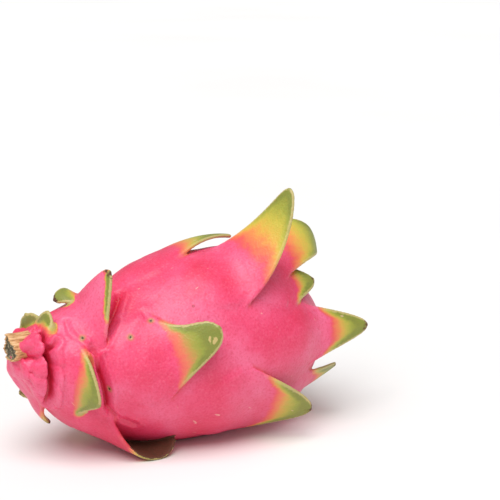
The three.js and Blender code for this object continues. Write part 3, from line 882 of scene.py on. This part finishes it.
def leaf_colour(shade, turning):
    """Pink at 0 and green at 1, by way of yellow where the skin is marked golden and of olive elsewhere."""
    golden = shade.ramp(turning, [
        (0.0, srgb(234, 66, 90)), (0.16, srgb(236, 92, 84)), (0.32, srgb(236, 140, 78)),
        (0.46, srgb(222, 178, 72)), (0.62, srgb(200, 186, 68)), (0.8, srgb(164, 166, 60)),
        (1.0, srgb(134, 140, 54)),
    ])
    olive = shade.ramp(turning, [
        (0.0, srgb(234, 66, 90)), (0.18, srgb(234, 98, 92)), (0.34, srgb(228, 122, 88)),
        (0.48, srgb(206, 142, 78)), (0.64, srgb(170, 158, 66)), (0.82, srgb(150, 156, 58)),
        (1.0, srgb(130, 136, 52)),
    ])
    return shade.mix(shade.attribute("gold"), olive, golden)


def with_marks(shade, colour, spots, marks):
    """Corky spots with a dark middle, dry scars, red pricks and a few pale scratches."""
    colour = shade.tinted(colour, shade.between(spots, 2.3, 0.9), 0.75, srgb(196, 120, 84))
    colour = shade.tinted(colour, shade.between(spots, 1.1, 0.7), 0.8, srgb(190, 160, 108))
    colour = shade.mix(shade.between(spots, 0.65, 0.35), colour, srgb(70, 50, 34))
    scars = shade.between(shade.nearest(marks["scars"]), 4.0, 1.0)
    cork = shade.between(shade.times(scars, shade.noise(1.5, 3, stretch=(1, 1, 2))), 0.36, 0.46)
    colour = shade.tinted(colour, cork, 0.85, srgb(208, 184, 118))
    pricks = shade.between(shade.nearest(marks["pricks"]), 0.9, 0.5)
    colour = shade.tinted(colour, pricks, 0.7, srgb(168, 26, 58))
    scratches = shade.between(shade.noise(1.3, 1, stretch=(4, 1, 9)), 0.76, 0.8)
    return shade.tinted(colour, scratches, 0.5, srgb(244, 200, 176))


def skin_material(marks):
    """Waxy pink skin, stippled, that turns through orange and yellow to green along the bracts."""
    shade = Shade("skin")
    green = shade.attribute("green")
    stipple = shade.noise(0.95, 2, rough=0.55)
    fibre = shade.noise(1.6, 3, stretch=(7, 1, 1))
    red = shade.ramp(fibre, [(0.3, srgb(204, 20, 44)), (0.6, srgb(232, 62, 70)), (0.8, srgb(240, 96, 84))])
    colour = shade.tinted(bare_skin(shade, stipple), shade.attribute("inner"), 0.75, red)
    colour = with_navel(shade, with_painted_shade(shade, colour))
    turning = shade.uneven(green, 5, 3, 0.16)
    turning = shade.sum(turning, shade.times(shade.sum(fibre, -0.5), 0.12))
    colour = shade.mix(shade.between(turning, 0.02, 0.2), colour, leaf_colour(shade, turning))
    rim = shade.times(shade.between(shade.attribute("edge"), 0.3, 0.9), shade.sum(green, 0.3))
    colour = shade.tinted(colour, rim, 0.45, srgb(220, 196, 136))
    # Dry brown tips, and inner faces made dark brown: partly dryness, partly painted shade inside the cup.
    dry_and_shaded = shade.uneven(shade.attribute("dry"), 1.5, 3, 0.9)
    colour = shade.mix(shade.between(dry_and_shaded, 0.5, 0.8), colour, srgb(92, 54, 34))
    spots = shade.uneven(shade.nearest(marks["spots"]), 1.2, 2, 0.9)
    colour = with_marks(shade, colour, spots, marks)
    shade.feed(shade.surface.inputs["Base Color"], colour)
    rough = shade.sum(0.36, shade.times(shade.noise(3, 3), 0.2))
    rough = shade.sum(rough, shade.times(shade.between(dry_and_shaded, 0.4, 0.8), 0.3))
    shade.feed(shade.surface.inputs["Roughness"], rough)
    bumps = shade.sum(shade.times(stipple, 0.5), shade.noise(6, 3, stretch=(2, 1, 1)))
    bumps = shade.sum(bumps, shade.times(shade.between(spots, 1.1, 0.5), -0.6))
    shade.feed(shade.surface.inputs["Normal"], shade.bump(bumps, 0.45))
    shade.surface.inputs["Subsurface Weight"].default_value = 0.12
    shade.surface.inputs["Subsurface Scale"].default_value = 0.002
    shade.surface.inputs["Subsurface Radius"].default_value = (1.0, 0.35, 0.3)
    shade.surface.inputs["Coat Weight"].default_value = 0.12
    shade.surface.inputs["Coat Roughness"].default_value = 0.35
    return shade.material


def stem_material():
    """Dry tan fibres, with a mottled grey cut."""
    shade = Shade("stem")
    fibre = shade.noise(0.7, 4, stretch=(6, 1, 1), rough=0.65)
    mottle = shade.noise(1.6, 4, rough=0.7)
    bark = shade.ramp(fibre, [
        (0.3, srgb(150, 98, 56)), (0.5, srgb(214, 162, 108)), (0.7, srgb(242, 206, 158)),
    ])
    mould = shade.ramp(mottle, [
        (0.36, srgb(40, 40, 30)), (0.5, srgb(104, 94, 72)), (0.66, srgb(196, 178, 142)),
    ])
    colour = shade.mix(shade.between(shade.attribute("cut"), 0.25, 0.8), bark, mould)
    shade.feed(shade.surface.inputs["Base Color"], colour)
    shade.feed(shade.surface.inputs["Roughness"], shade.sum(0.7, shade.times(mottle, 0.25)))
    shade.feed(shade.surface.inputs["Normal"], shade.bump(shade.sum(fibre, mottle), 0.4))
    return shade.material


def floor_material():
    """Matt off-white card."""
    shade = Shade("floor")
    card = shade.ramp(shade.noise(300, 2), [(0.3, srgb(238, 237, 236)), (0.7, srgb(244, 243, 242))])
    shade.feed(shade.surface.inputs["Base Color"], card)
    shade.feed(shade.surface.inputs["Roughness"], shade.sum(0.85, shade.times(shade.noise(2), 0.1)))
    shade.feed(shade.surface.inputs["Normal"], shade.bump(shade.noise(1), 0.02))
    return shade.material


def make_floor():
    """A wide level floor, a hair below the fruit."""
    half = FLOOR["half"]
    mesh = bpy.data.meshes.new("floor")
    corners = [(-half, -half), (half, -half), (half, half), (-half, half)]
    mesh.from_pydata([(x, y, -FLOOR["below"]) for x, y in corners], [], [(0, 1, 2, 3)])
    floor = bpy.data.objects.new("floor", mesh)
    bpy.context.scene.collection.objects.link(floor)
    floor.data.materials.append(floor_material())


def make_camera():
    """A camera at the photograph's angle, turned so that the fruit lies where it does in the photograph."""
    azimuth, elevation = math.radians(CAMERA["azimuth"]), math.radians(CAMERA["elevation"])
    back = Vector((
        math.sin(azimuth) * math.cos(elevation),
        -math.cos(azimuth) * math.cos(elevation),
        math.sin(elevation),
    ))
    camera = bpy.data.objects.new("camera", bpy.data.cameras.new("camera"))
    bpy.context.scene.collection.objects.link(camera)
    bpy.context.scene.camera = camera
    camera.location = Vector((0, 0, CAMERA["aim_height"])) + back * CAMERA["distance"]
    focal_px = CAMERA["px_per_m"] * CAMERA["distance"]
    level = (-back).to_track_quat("-Z", "Y")
    right, up = level @ Vector((1, 0, 0)), level @ Vector((0, 1, 0))
    aside, below = [(px - CAMERA["frame_px"] / 2) / focal_px for px in CAMERA["fruit_px"]]
    camera.rotation_mode = "QUATERNION"
    camera.rotation_quaternion = (-back - right * aside + up * below).to_track_quat("-Z", "Y")
    camera.data.sensor_width = CAMERA["sensor_mm"]
    camera.data.lens = focal_px * CAMERA["sensor_mm"] / CAMERA["frame_px"]


def make_lights():
    """An even white surround, a broad soft light from above on the left, and a weak one from the front."""
    world = bpy.data.worlds.new("world")
    bpy.context.scene.world = world
    world.use_nodes = True
    background = world.node_tree.nodes["Background"]
    background.inputs["Color"].default_value = (1, 1, 1, 1)
    background.inputs["Strength"].default_value = SURROUND
    for name, soft in (("key", KEY), ("fill", FILL)):
        light = bpy.data.objects.new(name, bpy.data.lights.new(name, "SUN"))
        light.data.energy = soft["strength"]
        light.data.angle = math.radians(soft["wide"])
        light.rotation_mode = "QUATERNION"
        light.rotation_quaternion = Vector(soft["from"]).to_track_quat("Z", "Y")
        bpy.context.scene.collection.objects.link(light)


def dress(piece, node, material):
    """Puts a piece in the place of a CAD node."""
    piece.data.materials.append(material)
    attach(piece, "root")
    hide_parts(node)


make_camera()
make_lights()
make_floor()
skin = make_skin()
places = {"spots": SPOTS, "scars": SCARS, "pricks": PRICKS}
marks = {kind: [on_skin(skin, *place) for place in some] for kind, some in places.items()}
dress(skin, "fruit", skin_material(marks))
dress(make_stub(), "stem_stub", stem_material())
bpy.context.scene.view_settings.view_transform = "Standard"
